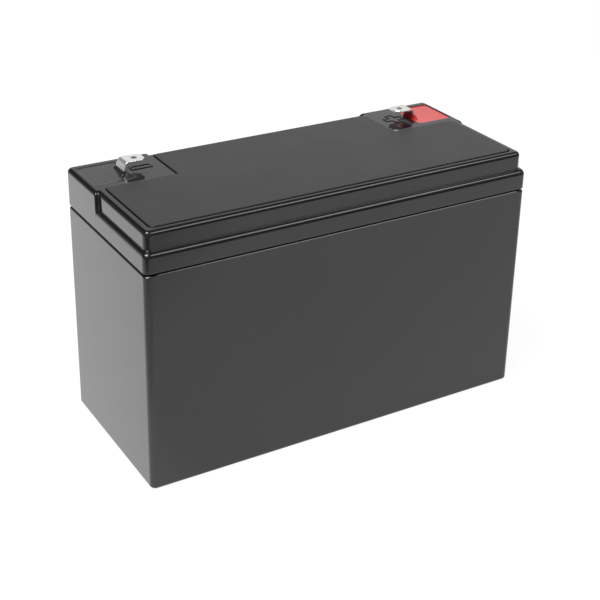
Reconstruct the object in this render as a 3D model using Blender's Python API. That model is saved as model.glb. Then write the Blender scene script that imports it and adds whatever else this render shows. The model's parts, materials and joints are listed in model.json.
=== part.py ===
"""Sealed lead-acid battery of the 12 V, 7 Ah class, with flat tab terminals.

The battery stands on the XY plane with its long side along X. The front is at -Y, and the two terminals
are near the back, the negative one at -X and the positive one at +X. Six cells lie in a row along X.
"""

import math

import bmesh
import bpy
from mathutils import Matrix, Vector

MM = 0.001

# Case, outside
CASE_LENGTH = 151.0 * MM
CASE_WIDTH = 65.0 * MM
CASE_HEIGHT = 94.0 * MM
LID_HEIGHT = 14.0 * MM
LEDGE_DROP = 6.5 * MM
LEDGE_STEP = 2.1 * MM
LEDGE_END_SHARE = 0.6
BLOCK_TURN_SHARE = 0.28
UPRIGHT_RADIUS = 2.2 * MM
BASE_ROUND = 1.2 * MM
RIM_ROUND = 1.6 * MM
LEDGE_ROUND = 1.9 * MM
PARTING_CHAMFER = 0.4 * MM
CLEARANCE = 0.3 * MM

# Container, inside
CELL_COUNT = 6
WALL = 2.4 * MM
CELL_WALL = 1.6 * MM
FLOOR = 2.6 * MM
RAIL_HEIGHT = 2.2 * MM
RAIL_WIDTH = 2.4 * MM
RAIL_OFFSET = 16.0 * MM
WELD_HOLE_RADIUS = 3.0 * MM
WELD_DROP = 4.4 * MM

# Lid
BLOCK_LENGTH = 30.8 * MM
BLOCK_DEPTH = 26.0 * MM
CEILING_DROP = 10.0 * MM
CEILING = 2.0 * MM
TROUGH_LEDGE = 2.0 * MM
HEAD_STEP = 0.4 * MM

# Cover plate
PLATE_THICKNESS = 1.3 * MM
PLATE_RISE = 0.3 * MM
PLATE_END_MARGIN = 4.4 * MM
PLATE_FRONT_MARGIN = 4.9 * MM
PLATE_BACK_MARGIN = 3.7 * MM
PLATE_SHOULDER_GAP = 1.8 * MM
PLATE_RADIUS = 2.0 * MM
PLATE_ROUND = 0.3 * MM

# Valves
CHIMNEY_RADIUS = 3.4 * MM
CHIMNEY_BORE = 1.6 * MM
CAP_WALL = 1.3 * MM
CAP_TOP = 1.2 * MM
CAP_FOOT_GAP = 1.3 * MM

# Terminal wells and marks
WELL_LENGTH = 14.6 * MM
WELL_END_MARGIN = 1.9 * MM
WELL_FRONT_MARGIN = 3.3 * MM
WELL_BACK_MARGIN = 3.6 * MM
WELL_RADIUS = 1.2 * MM
NEGATIVE_RESIN_DROP = 0.1 * MM
POSITIVE_RESIN_DROP = 0.7 * MM
MARK_INNER_MARGIN = 4.0 * MM
MARK_OUTER_MARGIN = 2.3 * MM
MARK_BAR_SHARE = 0.4
MARK_RISE = 0.4 * MM
MARK_ROUND = 0.3 * MM
MARK_BORDER = 0.55 * MM
MARK_FLOOR = 0.05 * MM

# Terminal tab
TAB_THICKNESS = 0.8 * MM
TAB_WIDTH = 6.35 * MM
TAB_BASE_WIDTH = 7.6 * MM
BLADE_LENGTH = 7.25 * MM
BLADE_GAP = 3.15 * MM
BLADE_HOLE_RADIUS = 1.1 * MM
BLADE_HOLE_SETBACK = 3.2 * MM
TIP_CUT = 1.3 * MM
TAB_BEND = 1.1 * MM
RISER_SLOPE = 0.38
RISER_RIM_MARGIN = 1.6 * MM

# Post and seal
POST_RADIUS = 3.0 * MM
POST_HOLE_GAP = 0.6 * MM
PEG_RADIUS = 1.5 * MM
PEG_RISE = 1.1 * MM
FOOT_DROP = 2.6 * MM
FOOT_TAIL = 3.0 * MM
SEAL_SECTION = 0.9 * MM

# Plates and separators of one cell
POSITIVE_PLATES = 4
NEGATIVE_PLATES = 5
POSITIVE_TO_NEGATIVE = 1.4
MAT_THICKNESS = 0.6 * MM
MAT_RISE = 1.6 * MM
PLATE_TOP_DROP = 13.0 * MM
LUG_WIDTH = 9.0 * MM
STRAP_WIDTH = 10.0 * MM
STRAP_GAP = 2.5 * MM
STRAP_THICKNESS = 3.5 * MM
TONGUE_THICKNESS = 1.8 * MM
TONGUE_TOP_DROP = 1.2 * MM

ARC_STEPS = 4
EDGE_STEPS = 3
ROUND_SIDES = 24
SMALL_SIDES = 16
OVERLAP = 0.6 * MM
HAIR = 0.04 * MM
SMALLEST_ARC = HAIR / 4
MERGE_DISTANCE = HAIR / 400
SMOOTH_ANGLE = math.radians(35)

# Places that several pieces share
HALF_LENGTH = CASE_LENGTH / 2
HALF_WIDTH = CASE_WIDTH / 2
PARTING_HEIGHT = CASE_HEIGHT - LID_HEIGHT
LEDGE_HEIGHT = CASE_HEIGHT - LEDGE_DROP
CEILING_HEIGHT = CASE_HEIGHT - CEILING_DROP
LID_BOTTOM = PARTING_HEIGHT + CLEARANCE
CELL_HALF_WIDTH = HALF_WIDTH - WALL
CELL_LENGTH = (CASE_LENGTH - 2 * WALL - (CELL_COUNT - 1) * CELL_WALL) / CELL_COUNT
CELL_PITCH = CELL_LENGTH + CELL_WALL
CEILING_TOP = CEILING_HEIGHT + CEILING
PLATE_TOP = CASE_HEIGHT + PLATE_RISE
PLATE_BOTTOM = PLATE_TOP - PLATE_THICKNESS
RECESS_FLOOR = PLATE_BOTTOM - CLEARANCE
BLOCK_INNER_X = HALF_LENGTH - BLOCK_LENGTH
BLOCK_FRONT_Y = HALF_WIDTH - BLOCK_DEPTH
RECESS_SHOULDER_Y = BLOCK_FRONT_Y + PLATE_SHOULDER_GAP + CLEARANCE
TROUGH_FRONT_Y = -HALF_WIDTH + PLATE_FRONT_MARGIN + TROUGH_LEDGE
TROUGH_BACK_Y = RECESS_SHOULDER_Y - CLEARANCE - TROUGH_LEDGE
VALVE_Y = (TROUGH_FRONT_Y + TROUGH_BACK_Y) / 2
CHIMNEY_TOP = PLATE_BOTTOM - 2 * CLEARANCE - CAP_TOP
WELL_OUTER_X = HALF_LENGTH - WELL_END_MARGIN
WELL_INNER_X = WELL_OUTER_X - WELL_LENGTH
WELL_FRONT_Y = RECESS_SHOULDER_Y + WELL_FRONT_MARGIN
WELL_BACK_Y = HALF_WIDTH - WELL_BACK_MARGIN
TERMINAL_Y = (WELL_FRONT_Y + WELL_BACK_Y) / 2
POST_X = (WELL_INNER_X + WELL_OUTER_X) / 2
SEAL_CENTRE_Z = CEILING_TOP + CLEARANCE + SEAL_SECTION
SEAL_RADIUS = POST_RADIUS + CLEARANCE + SEAL_SECTION
RESIN_BOTTOM = SEAL_CENTRE_Z + SEAL_SECTION + CLEARANCE
FOOT_Z = CASE_HEIGHT - FOOT_DROP
BLADE_Z = CASE_HEIGHT + BLADE_GAP + TAB_THICKNESS / 2
RISER_RIM_X = WELL_INNER_X + RISER_RIM_MARGIN
RISER_BASE_X = RISER_RIM_X + RISER_SLOPE * (CASE_HEIGHT - FOOT_Z)
RISER_TOP_X = RISER_RIM_X - RISER_SLOPE * (BLADE_Z - CASE_HEIGHT)
TIP_X = RISER_TOP_X - BLADE_LENGTH
POST_TOP = FOOT_Z - TAB_THICKNESS / 2 - CLEARANCE
GROUP_BOTTOM = FLOOR + RAIL_HEIGHT + CLEARANCE
GROUP_TOP = PARTING_HEIGHT - PLATE_TOP_DROP
STRAP_BOTTOM = GROUP_TOP + STRAP_GAP
STRAP_TOP = STRAP_BOTTOM + STRAP_THICKNESS
WELD_Z = PARTING_HEIGHT - WELD_DROP


def clear_scene():
    for obj in list(bpy.data.objects):
        bpy.data.objects.remove(obj, do_unlink=True)


def material(name, color, roughness, metallic=0.0):
    made = bpy.data.materials.new(name)
    made.use_nodes = True
    shader = made.node_tree.nodes["Principled BSDF"]
    shader.inputs["Base Color"].default_value = (*color, 1.0)
    shader.inputs["Roughness"].default_value = roughness
    shader.inputs["Metallic"].default_value = metallic
    made.diffuse_color = (*color, 1.0)
    return made


def object_from(name, mesh_builder, made_of=None):
    """Turns a bmesh into an object, with points that coincide made one and its faces pointing out."""
    bmesh.ops.remove_doubles(mesh_builder, verts=mesh_builder.verts, dist=MERGE_DISTANCE)
    bmesh.ops.recalc_face_normals(mesh_builder, faces=mesh_builder.faces)
    mesh = bpy.data.meshes.new(name)
    mesh_builder.to_mesh(mesh)
    mesh_builder.free()
    obj = bpy.data.objects.new(name, mesh)
    bpy.context.scene.collection.objects.link(obj)
    if made_of is not None:
        mesh.materials.append(made_of)
    return obj


def set_origin(obj, x, y, z):
    """Gives the piece an origin of its own, and leaves its shape where it is."""
    place = Vector((x, y, z))
    obj.data.transform(Matrix.Translation(-place))
    obj.location = place


def helper(obj):
    obj.hide_render = True
    obj.display_type = "WIRE"
    return obj


def boolean(obj, other, operation):
    modifier = obj.modifiers.new(f"{operation.lower()} {other.name}", "BOOLEAN")
    modifier.operation = operation
    modifier.solver = "EXACT"
    modifier.object = helper(other)


def cut(obj, *cutters):
    for cutter in cutters:
        boolean(obj, cutter, "DIFFERENCE")


def join(obj, *others):
    for other in others:
        boolean(obj, other, "UNION")


def add_rings(mesh_builder, rings):
    """A closed skin through rings of points of equal count, with a face at each end."""
    loops = [[mesh_builder.verts.new(point) for point in ring] for ring in rings]
    count = len(loops[0])
    for low, high in zip(loops, loops[1:]):
        for i in range(count):
            j = (i + 1) % count
            mesh_builder.faces.new((low[i], low[j], high[j], high[i]))
    mesh_builder.faces.new(list(reversed(loops[0])))
    mesh_builder.faces.new(loops[-1])


def rounded(corners, inset=0.0):
    """Outline of a rectilinear shape, anticlockwise, with each corner (x, y, radius) an arc.

    A positive inset moves the whole outline inwards, and its arcs stay concentric.
    """
    outline = []
    count = len(corners)
    for i, (x, y, radius) in enumerate(corners):
        corner = Vector((x, y))
        before = (corner - Vector(corners[i - 1][:2])).normalized()
        after = (Vector(corners[(i + 1) % count][:2]) - corner).normalized()
        inward = Vector((-before.y, before.x)) + Vector((-after.y, after.x))
        turn = before.x * after.y - before.y * after.x
        arc_radius = max(radius - turn * inset, SMALLEST_ARC)
        centre = corner + inward * inset + turn * inward * arc_radius
        start = math.atan2(-before.x * turn, before.y * turn)
        for step in range(ARC_STEPS + 1):
            angle = start + turn * step / ARC_STEPS * math.pi / 2
            outline.append((centre.x + arc_radius * math.cos(angle), centre.y + arc_radius * math.sin(angle)))
    return outline


def rectangle(low_x, low_y, high_x, high_y, radius):
    return [
        (low_x, low_y, radius),
        (high_x, low_y, radius),
        (high_x, high_y, radius),
        (low_x, high_y, radius),
    ]


def mirrored(corners):
    """The same outline on the other side of the YZ plane, still anticlockwise."""
    return [(-x, y, radius) for x, y, radius in reversed(corners)]


def quarter_round(radius, rising):
    """Steps of a rounded edge as (inset, rise): outwards and up for a foot, inwards and up for a rim."""
    for step in range(EDGE_STEPS + 1):
        angle = step / EDGE_STEPS * math.pi / 2
        if rising:
            yield radius * (1 - math.sin(angle)), radius * (1 - math.cos(angle))
        else:
            yield radius * (1 - math.cos(angle)), radius * math.sin(angle)


def stack(name, levels, made_of=None):
    """A skin through outlines at rising heights, given as (corners, inset, height)."""
    builder = bmesh.new()
    add_rings(builder, [[(x, y, z) for x, y in rounded(corners, inset)] for corners, inset, z in levels])
    return object_from(name, builder, made_of)


def prism(name, corners, low, high, bottom_round=0.0, top_round=0.0, made_of=None):
    """An upright shape with a rounded outline, and rounded edges round its foot and its top."""
    levels = [(corners, 0.0, low)]
    if bottom_round:
        levels = [(corners, inset, low + rise) for inset, rise in quarter_round(bottom_round, True)]
    if top_round:
        start = high - top_round
        levels += [(corners, inset, start + rise) for inset, rise in quarter_round(top_round, False)]
    else:
        levels.append((corners, 0.0, high))
    return stack(name, levels, made_of)


def box(name, low, high, made_of=None):
    builder = bmesh.new()
    add_box(builder, low, high)
    return object_from(name, builder, made_of)


def add_box(builder, low, high):
    ring = ((low[0], low[1]), (high[0], low[1]), (high[0], high[1]), (low[0], high[1]))
    add_rings(builder, [[(x, y, z) for x, y in ring] for z in (low[2], high[2])])


def circle(radius, sides):
    return [
        (radius * math.cos(2 * math.pi * i / sides), radius * math.sin(2 * math.pi * i / sides))
        for i in range(sides)
    ]


def upright_cylinder(name, x, y, low, high, radius, sides=ROUND_SIDES):
    builder = bmesh.new()
    add_rings(builder, [[(x + dx, y + dy, z) for dx, dy in circle(radius, sides)] for z in (low, high)])
    return object_from(name, builder)


def turned(name, x, y, profile, sides=ROUND_SIDES, made_of=None):
    """A solid turned about an upright axis, from a profile of (radius, height), closed by flat ends."""
    builder = bmesh.new()
    add_rings(builder, [[(x + dx, y + dy, z) for dx, dy in circle(radius, sides)] for radius, z in profile])
    return object_from(name, builder, made_of)


def cell_centre(cell):
    """Middle of a cell along X. Cells count from 0 at the negative end."""
    return (cell - (CELL_COUNT - 1) / 2) * CELL_PITCH


def strap_side(cell, positive):
    """+1 where the strap runs near the back wall, -1 near the front. The sides swap from cell to cell."""
    return 1 if (cell % 2 == 1) == positive else -1


def case_outline():
    return rectangle(-HALF_LENGTH, -HALF_WIDTH, HALF_LENGTH, HALF_WIDTH, UPRIGHT_RADIUS)


def make_container(plastic):
    """The jar: outer shell, six cells, two floor rails and the weld holes through the cell walls."""
    jar = prism("container", case_outline(), 0.0, PARTING_HEIGHT, BASE_ROUND, PARTING_CHAMFER, plastic)
    pockets = bmesh.new()
    for cell in range(CELL_COUNT):
        middle = cell_centre(cell)
        low = (middle - CELL_LENGTH / 2, -CELL_HALF_WIDTH, FLOOR)
        high = (middle + CELL_LENGTH / 2, CELL_HALF_WIDTH, PARTING_HEIGHT + OVERLAP)
        add_box(pockets, low, high)
    cut(jar, object_from("cell_pockets", pockets))
    rails = bmesh.new()
    for side in (-1, 1):
        low = (-HALF_LENGTH + WALL / 2, side * RAIL_OFFSET - RAIL_WIDTH / 2, FLOOR - OVERLAP)
        high = (HALF_LENGTH - WALL / 2, side * RAIL_OFFSET + RAIL_WIDTH / 2, FLOOR + RAIL_HEIGHT)
        add_box(rails, low, high)
    join(jar, object_from("floor_rails", rails))
    holes = bmesh.new()
    for cell in range(CELL_COUNT - 1):
        middle = cell_centre(cell) + CELL_PITCH / 2
        side = strap_side(cell, True)
        ring = circle(WELD_HOLE_RADIUS, SMALL_SIDES)
        ends = (middle - CELL_WALL, middle + CELL_WALL)
        add_rings(holes, [[(x, side * TERMINAL_Y + dy, WELD_Z + dz) for dy, dz in ring] for x in ends])
    cut(jar, object_from("weld_holes", holes))
    return jar


def lid_outline(step, inset):
    """The case's outline, set back by a step all round but for the two terminal blocks, which stay flush.

    The step is never quite zero, so that outlines at different heights have matching points.
    """
    end = HALF_LENGTH - step * LEDGE_END_SHARE - inset
    side = HALF_WIDTH - step - inset
    block_end = HALF_LENGTH - inset
    block_side = HALF_WIDTH - inset
    block_front = BLOCK_FRONT_Y + inset
    block_inner = BLOCK_INNER_X + inset
    turn = BLOCK_TURN_SHARE * step
    half = [
        (end, -side, UPRIGHT_RADIUS),
        (end, block_front, turn),
        (block_end, block_front, turn),
        (block_end, block_side, UPRIGHT_RADIUS),
        (block_inner, block_side, turn),
        (block_inner, side, turn),
    ]
    return half + mirrored(half)


def plate_outline(gap):
    """The cover plate's T shape, grown by a gap to give the recess that it lies in."""
    end = HALF_LENGTH - PLATE_END_MARGIN + gap
    front = -HALF_WIDTH + PLATE_FRONT_MARGIN - gap
    back = HALF_WIDTH - PLATE_BACK_MARGIN + gap
    shoulder = RECESS_SHOULDER_Y - CLEARANCE + gap
    neck = BLOCK_INNER_X - CLEARANCE + gap
    return [
        (-end, front, PLATE_RADIUS),
        (end, front, PLATE_RADIUS),
        (end, shoulder, PLATE_RADIUS),
        (neck, shoulder, PLATE_ROUND),
        (neck, back, PLATE_RADIUS),
        (-neck, back, PLATE_RADIUS),
        (-neck, shoulder, PLATE_ROUND),
        (-end, shoulder, PLATE_RADIUS),
    ]


def well_outline(gap):
    low_y = WELL_FRONT_Y + gap
    high_y = WELL_BACK_Y - gap
    return rectangle(WELL_INNER_X + gap, low_y, WELL_OUTER_X - gap, high_y, WELL_RADIUS)


def head_spaces():
    """The hollows over the cells, on the lid's underside, each deeper behind the valve trough."""
    well_limit = WELL_INNER_X - CEILING
    low_z = LID_BOTTOM - OVERLAP
    shallow = bmesh.new()
    deep = bmesh.new()
    for cell in range(CELL_COUNT):
        low_x = cell_centre(cell) - CELL_LENGTH / 2
        high_x = cell_centre(cell) + CELL_LENGTH / 2
        add_box(shallow, (low_x, -CELL_HALF_WIDTH, low_z), (high_x, CELL_HALF_WIDTH, CEILING_HEIGHT))
        low_x = max(low_x + HEAD_STEP, -well_limit)
        high_x = min(high_x - HEAD_STEP, well_limit)
        if high_x - low_x > CEILING:
            back_y = CELL_HALF_WIDTH - HEAD_STEP
            low = (low_x, RECESS_SHOULDER_Y, CEILING_HEIGHT - OVERLAP)
            add_box(deep, low, (high_x, back_y, RECESS_FLOOR - CEILING))
    return object_from("head_spaces", shallow), object_from("deep_head_spaces", deep)


def lid_shell(plastic):
    """The lid's outside: a foot chamfer, the band, its rounded ledge, and the tier with a rounded rim.

    The ledge rises inwards by a hair, so that no two outlines lie at one height.
    """
    levels = [
        (lid_outline(HAIR, PARTING_CHAMFER), 0.0, LID_BOTTOM),
        (lid_outline(HAIR, 0.0), 0.0, LID_BOTTOM + PARTING_CHAMFER),
    ]
    start = LEDGE_HEIGHT - LEDGE_ROUND
    for inset, rise in quarter_round(LEDGE_ROUND, False):
        levels.append((lid_outline(HAIR + inset, 0.0), 0.0, start + rise))
    levels.append((lid_outline(LEDGE_STEP, 0.0), 0.0, LEDGE_HEIGHT + HAIR))
    start = CASE_HEIGHT - RIM_ROUND
    for inset, rise in quarter_round(RIM_ROUND, False):
        levels.append((lid_outline(LEDGE_STEP, inset), 0.0, start + rise))
    return stack("lid", levels, plastic)


def make_lid(plastic):
    """The lid: trough, recesses and wells from above, hollows below, chimneys, holes and raised marks."""
    lid = lid_shell(plastic)
    above = PLATE_TOP + OVERLAP
    cut(lid, prism("plate_recess", plate_outline(CLEARANCE), RECESS_FLOOR, above))
    trough_end = HALF_LENGTH - PLATE_END_MARGIN - TROUGH_LEDGE
    trough = rectangle(-trough_end, TROUGH_FRONT_Y, trough_end, TROUGH_BACK_Y, PLATE_RADIUS)
    cut(lid, prism("valve_trough", trough, CEILING_TOP, above))
    for side, name in ((-1, "negative"), (1, "positive")):
        well = well_outline(0.0) if side > 0 else mirrored(well_outline(0.0))
        cut(lid, prism(f"{name}_well", well, CEILING_TOP, above + OVERLAP))
    cut(lid, *head_spaces())
    for cell in range(CELL_COUNT):
        x = cell_centre(cell)
        low = CEILING_TOP - OVERLAP
        join(lid, upright_cylinder(f"chimney_{cell + 1}", x, VALVE_Y, low, CHIMNEY_TOP, CHIMNEY_RADIUS))
        low = CEILING_HEIGHT - OVERLAP
        high = CHIMNEY_TOP + OVERLAP
        cut(lid, upright_cylinder(f"vent_{cell + 1}", x, VALVE_Y, low, high, CHIMNEY_BORE, SMALL_SIDES))
    for side, name in ((-1, "negative"), (1, "positive")):
        hole = POST_RADIUS + POST_HOLE_GAP
        low = CEILING_HEIGHT - OVERLAP
        high = CEILING_TOP + OVERLAP
        cut(lid, upright_cylinder(f"{name}_post_hole", side * POST_X, TERMINAL_Y, low, high, hole))
    join(lid, *polarity_marks())
    cut(lid, *mark_middles())
    set_origin(lid, 0.0, 0.0, LID_BOTTOM)
    return lid


def mark_sizes():
    """The marks' middle x, and half the length and half the width of their bars."""
    inner_x = BLOCK_INNER_X + MARK_INNER_MARGIN
    outer_x = WELL_INNER_X - MARK_OUTER_MARGIN
    arm = (outer_x - inner_x) / 2
    return (inner_x + outer_x) / 2, arm, arm * MARK_BAR_SHARE


def polarity_marks():
    """Raised signs on the blocks: a bar beside the negative tab, and a cross beside the positive one."""
    middle, arm, bar = mark_sizes()
    low_y = TERMINAL_Y - bar
    high_y = TERMINAL_Y + bar
    minus = rectangle(-middle - arm, low_y, -middle + arm, high_y, MARK_ROUND)
    plus = [
        (middle - bar, TERMINAL_Y - arm, MARK_ROUND),
        (middle + bar, TERMINAL_Y - arm, MARK_ROUND),
        (middle + bar, low_y, MARK_ROUND),
        (middle + arm, low_y, MARK_ROUND),
        (middle + arm, high_y, MARK_ROUND),
        (middle + bar, high_y, MARK_ROUND),
        (middle + bar, TERMINAL_Y + arm, MARK_ROUND),
        (middle - bar, TERMINAL_Y + arm, MARK_ROUND),
        (middle - bar, high_y, MARK_ROUND),
        (middle - arm, high_y, MARK_ROUND),
        (middle - arm, low_y, MARK_ROUND),
        (middle - bar, low_y, MARK_ROUND),
    ]
    for name, outline in (("minus_mark", minus), ("plus_mark", plus)):
        yield prism(name, outline, CASE_HEIGHT - OVERLAP, CASE_HEIGHT + MARK_RISE)


def mark_middles():
    """Cutters that leave of each mark a raised border."""
    middle, arm, bar = mark_sizes()
    low_z = CASE_HEIGHT + MARK_FLOOR
    high_z = CASE_HEIGHT + MARK_RISE + OVERLAP
    long = arm - MARK_BORDER
    short = bar - MARK_BORDER
    for name, x, half_x, half_y in (
        ("minus_middle", -middle, long, short),
        ("plus_middle_along", middle, long, short),
        ("plus_middle_across", middle, short, long),
    ):
        low = (x - half_x, TERMINAL_Y - half_y, low_z)
        yield box(name, low, (x + half_x, TERMINAL_Y + half_y, high_z))


def make_cover_plate(plastic):
    plate = prism("cover_plate", plate_outline(0.0), PLATE_BOTTOM, PLATE_TOP, 0.0, PLATE_ROUND, plastic)
    set_origin(plate, 0.0, 0.0, PLATE_BOTTOM)
    return plate


def make_valve_cap(cell, rubber):
    """A rubber cup over the chimney, with its roof on the chimney's mouth and under the cover plate."""
    inner = CHIMNEY_RADIUS + CLEARANCE
    outer = inner + CAP_WALL
    roof = CHIMNEY_TOP + CLEARANCE
    skirt = CEILING_TOP + CAP_FOOT_GAP
    x = cell_centre(cell)
    profile = [(outer, skirt), (outer, roof + CAP_TOP / 2), (outer - CAP_TOP / 2, roof + CAP_TOP)]
    cap = turned(f"valve_cap_{cell + 1}", x, VALVE_Y, profile, made_of=rubber)
    cut(cap, upright_cylinder(f"cap_bore_{cell + 1}", x, VALVE_Y, skirt - OVERLAP, roof, inner))
    set_origin(cap, x, VALVE_Y, skirt)
    return cap


def bent_line(points, radius, steps):
    """A line through the points with each inner corner an arc, as (x, z, direction) along it."""
    path = []
    corners = [Vector(point) for point in points]
    first = (corners[1] - corners[0]).normalized()
    path.append((corners[0], first))
    for before, corner, after in zip(corners, corners[1:], corners[2:]):
        incoming = (corner - before).normalized()
        outgoing = (after - corner).normalized()
        angle = incoming.angle_signed(outgoing)
        reach = radius * math.tan(abs(angle) / 2)
        side = Vector((-incoming.y, incoming.x)) * (-1 if angle > 0 else 1)
        centre = corner - incoming * reach + side * radius
        for step in range(steps + 1):
            turn = -angle * step / steps
            direction = Vector((
                incoming.x * math.cos(turn) - incoming.y * math.sin(turn),
                incoming.x * math.sin(turn) + incoming.y * math.cos(turn),
            ))
            outward = Vector((direction.y, -direction.x)) * (-1 if angle > 0 else 1)
            path.append((centre + outward * radius, direction))
    last = (corners[-1] - corners[-2]).normalized()
    path.append((corners[-1], last))
    return path


def tab_width(x, z):
    """The tab is wider at its foot, narrows up the riser to the blade's width, and its tip is cut back."""
    if z < CASE_HEIGHT:
        return TAB_BASE_WIDTH
    if x < TIP_X + TIP_CUT / 2:
        return TAB_WIDTH - 2 * TIP_CUT
    rise = min((z - CASE_HEIGHT) / BLADE_GAP, 1.0)
    return TAB_BASE_WIDTH + (TAB_WIDTH - TAB_BASE_WIDTH) * rise


def tab_centre_line():
    foot_end = (POST_X + FOOT_TAIL, FOOT_Z)
    riser_foot = (RISER_BASE_X, FOOT_Z)
    riser_top = (RISER_TOP_X, BLADE_Z)
    path = bent_line([foot_end, riser_foot, riser_top, (TIP_X, BLADE_Z)], TAB_BEND, ARC_STEPS)
    shoulder = (Vector((TIP_X + TIP_CUT, BLADE_Z)), path[-1][1])
    return path[:-1] + [shoulder] + path[-1:]


def make_terminal(name, side, metal):
    """One bent strip: a foot soldered over the post, a riser, and a blade that points to the middle."""
    half = TAB_THICKNESS / 2
    builder = bmesh.new()
    rings = []
    for point, direction in tab_centre_line():
        normal = Vector((-direction.y, direction.x)) * half
        width = tab_width(point.x, point.y) / 2
        ring = []
        for across, up in ((-1, -1), (1, -1), (1, 1), (-1, 1)):
            at = point + normal * up
            ring.append((side * at.x, TERMINAL_Y + across * width, at.y))
        rings.append(ring)
    add_rings(builder, rings)
    tab = object_from(name, builder, metal)
    hole_x = side * (TIP_X + BLADE_HOLE_SETBACK)
    low = BLADE_Z - TAB_THICKNESS
    high = BLADE_Z + TAB_THICKNESS
    cut(tab, upright_cylinder(f"{name}_hole", hole_x, TERMINAL_Y, low, high, BLADE_HOLE_RADIUS, SMALL_SIDES))
    foot_x = side * POST_X
    peg_hole = PEG_RADIUS + CLEARANCE
    low = FOOT_Z - TAB_THICKNESS
    high = FOOT_Z + TAB_THICKNESS
    cut(tab, upright_cylinder(f"{name}_peg_hole", foot_x, TERMINAL_Y, low, high, peg_hole, SMALL_SIDES))
    set_origin(tab, foot_x, TERMINAL_Y, FOOT_Z)
    return tab


def riser_x(z, off):
    """Where a line beside the leaning riser is at a height, off from the riser's middle line."""
    return RISER_RIM_X - RISER_SLOPE * (z - CASE_HEIGHT) + off * math.hypot(1.0, RISER_SLOPE)


def make_well_resin(name, side, drop, resin):
    """The poured resin fills the well over the post seal, with room for post, peg, foot and riser."""
    outline = well_outline(CLEARANCE) if side > 0 else mirrored(well_outline(CLEARANCE))
    fill = prism(name, outline, RESIN_BOTTOM, CASE_HEIGHT - drop, made_of=resin)
    foot_low = FOOT_Z - TAB_THICKNESS / 2 - CLEARANCE
    foot_high = FOOT_Z + TAB_THICKNESS / 2 + CLEARANCE
    post_x = side * POST_X
    shaft = POST_RADIUS + CLEARANCE
    cut(fill, upright_cylinder(f"{name}_shaft", post_x, TERMINAL_Y, RESIN_BOTTOM - OVERLAP, foot_low, shaft))
    half_width = TAB_BASE_WIDTH / 2 + CLEARANCE
    foot_end = POST_X + FOOT_TAIL + CLEARANCE
    beside = TAB_THICKNESS / 2 + CLEARANCE
    bend_top = foot_high + TAB_BEND / 2
    above = CASE_HEIGHT + OVERLAP
    builder = bmesh.new()
    profile = [
        (riser_x(foot_low, -beside), foot_low),
        (foot_end, foot_low),
        (foot_end, foot_high),
        (riser_x(foot_high, beside) + TAB_BEND / 2, foot_high),
        (riser_x(bend_top, beside), bend_top),
        (riser_x(above, beside), above),
        (riser_x(above, -beside), above),
    ]
    ends = (TERMINAL_Y - half_width, TERMINAL_Y + half_width)
    add_rings(builder, [[(side * x, y, z) for x, z in profile] for y in ends])
    cut(fill, object_from(f"{name}_foot_room", builder))
    peg = PEG_RADIUS + CLEARANCE
    peg_top = FOOT_Z + PEG_RISE + CLEARANCE
    low = foot_high - OVERLAP
    cut(fill, upright_cylinder(f"{name}_peg_room", post_x, TERMINAL_Y, low, peg_top, peg, SMALL_SIDES))
    set_origin(fill, post_x, TERMINAL_Y, RESIN_BOTTOM)
    return fill


def make_post_seal(name, side, rubber):
    """An O-ring round the post, on the floor of the well."""
    builder = bmesh.new()
    sections = []
    for i in range(ROUND_SIDES):
        around = 2 * math.pi * i / ROUND_SIDES
        section = []
        for dx, dz in circle(SEAL_SECTION, SMALL_SIDES // 2):
            reach = SEAL_RADIUS + dx
            x = side * POST_X + reach * math.cos(around)
            y = TERMINAL_Y + reach * math.sin(around)
            section.append(builder.verts.new((x, y, SEAL_CENTRE_Z + dz)))
        sections.append(section)
    for i, section in enumerate(sections):
        following = sections[(i + 1) % ROUND_SIDES]
        for j in range(len(section)):
            k = (j + 1) % len(section)
            builder.faces.new((section[j], section[k], following[k], following[j]))
    seal = object_from(name, builder, rubber)
    set_origin(seal, side * POST_X, TERMINAL_Y, SEAL_CENTRE_Z)
    return seal


def layer_sizes():
    """Thickness of a positive and of a negative plate, which share what mats and gaps leave of the cell."""
    mats = POSITIVE_PLATES + NEGATIVE_PLATES - 1
    gaps = POSITIVE_PLATES + NEGATIVE_PLATES + mats + 1
    left = CELL_LENGTH - mats * MAT_THICKNESS - gaps * CLEARANCE
    negative = left / (POSITIVE_PLATES * POSITIVE_TO_NEGATIVE + NEGATIVE_PLATES)
    return negative * POSITIVE_TO_NEGATIVE, negative


def layers(cell):
    """The cell's layers from -X to +X, as (kind, low x, high x). Negative plates are outermost."""
    positive, negative = layer_sizes()
    x = cell_centre(cell) - CELL_LENGTH / 2 + CLEARANCE
    for i in range(POSITIVE_PLATES + NEGATIVE_PLATES):
        kind, thickness = ("negative", negative) if i % 2 == 0 else ("positive", positive)
        yield kind, x, x + thickness
        x += thickness + CLEARANCE
        if i < POSITIVE_PLATES + NEGATIVE_PLATES - 1:
            yield "mat", x, x + MAT_THICKNESS
            x += MAT_THICKNESS + CLEARANCE


def plate_half_width():
    """Half of a plate's width: the mat's widest fold still clears the cell's wall."""
    fold = (layer_sizes()[0] + 2 * CLEARANCE + MAT_THICKNESS) / 2
    return CELL_HALF_WIDTH - CLEARANCE - MAT_THICKNESS / 2 - fold


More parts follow.
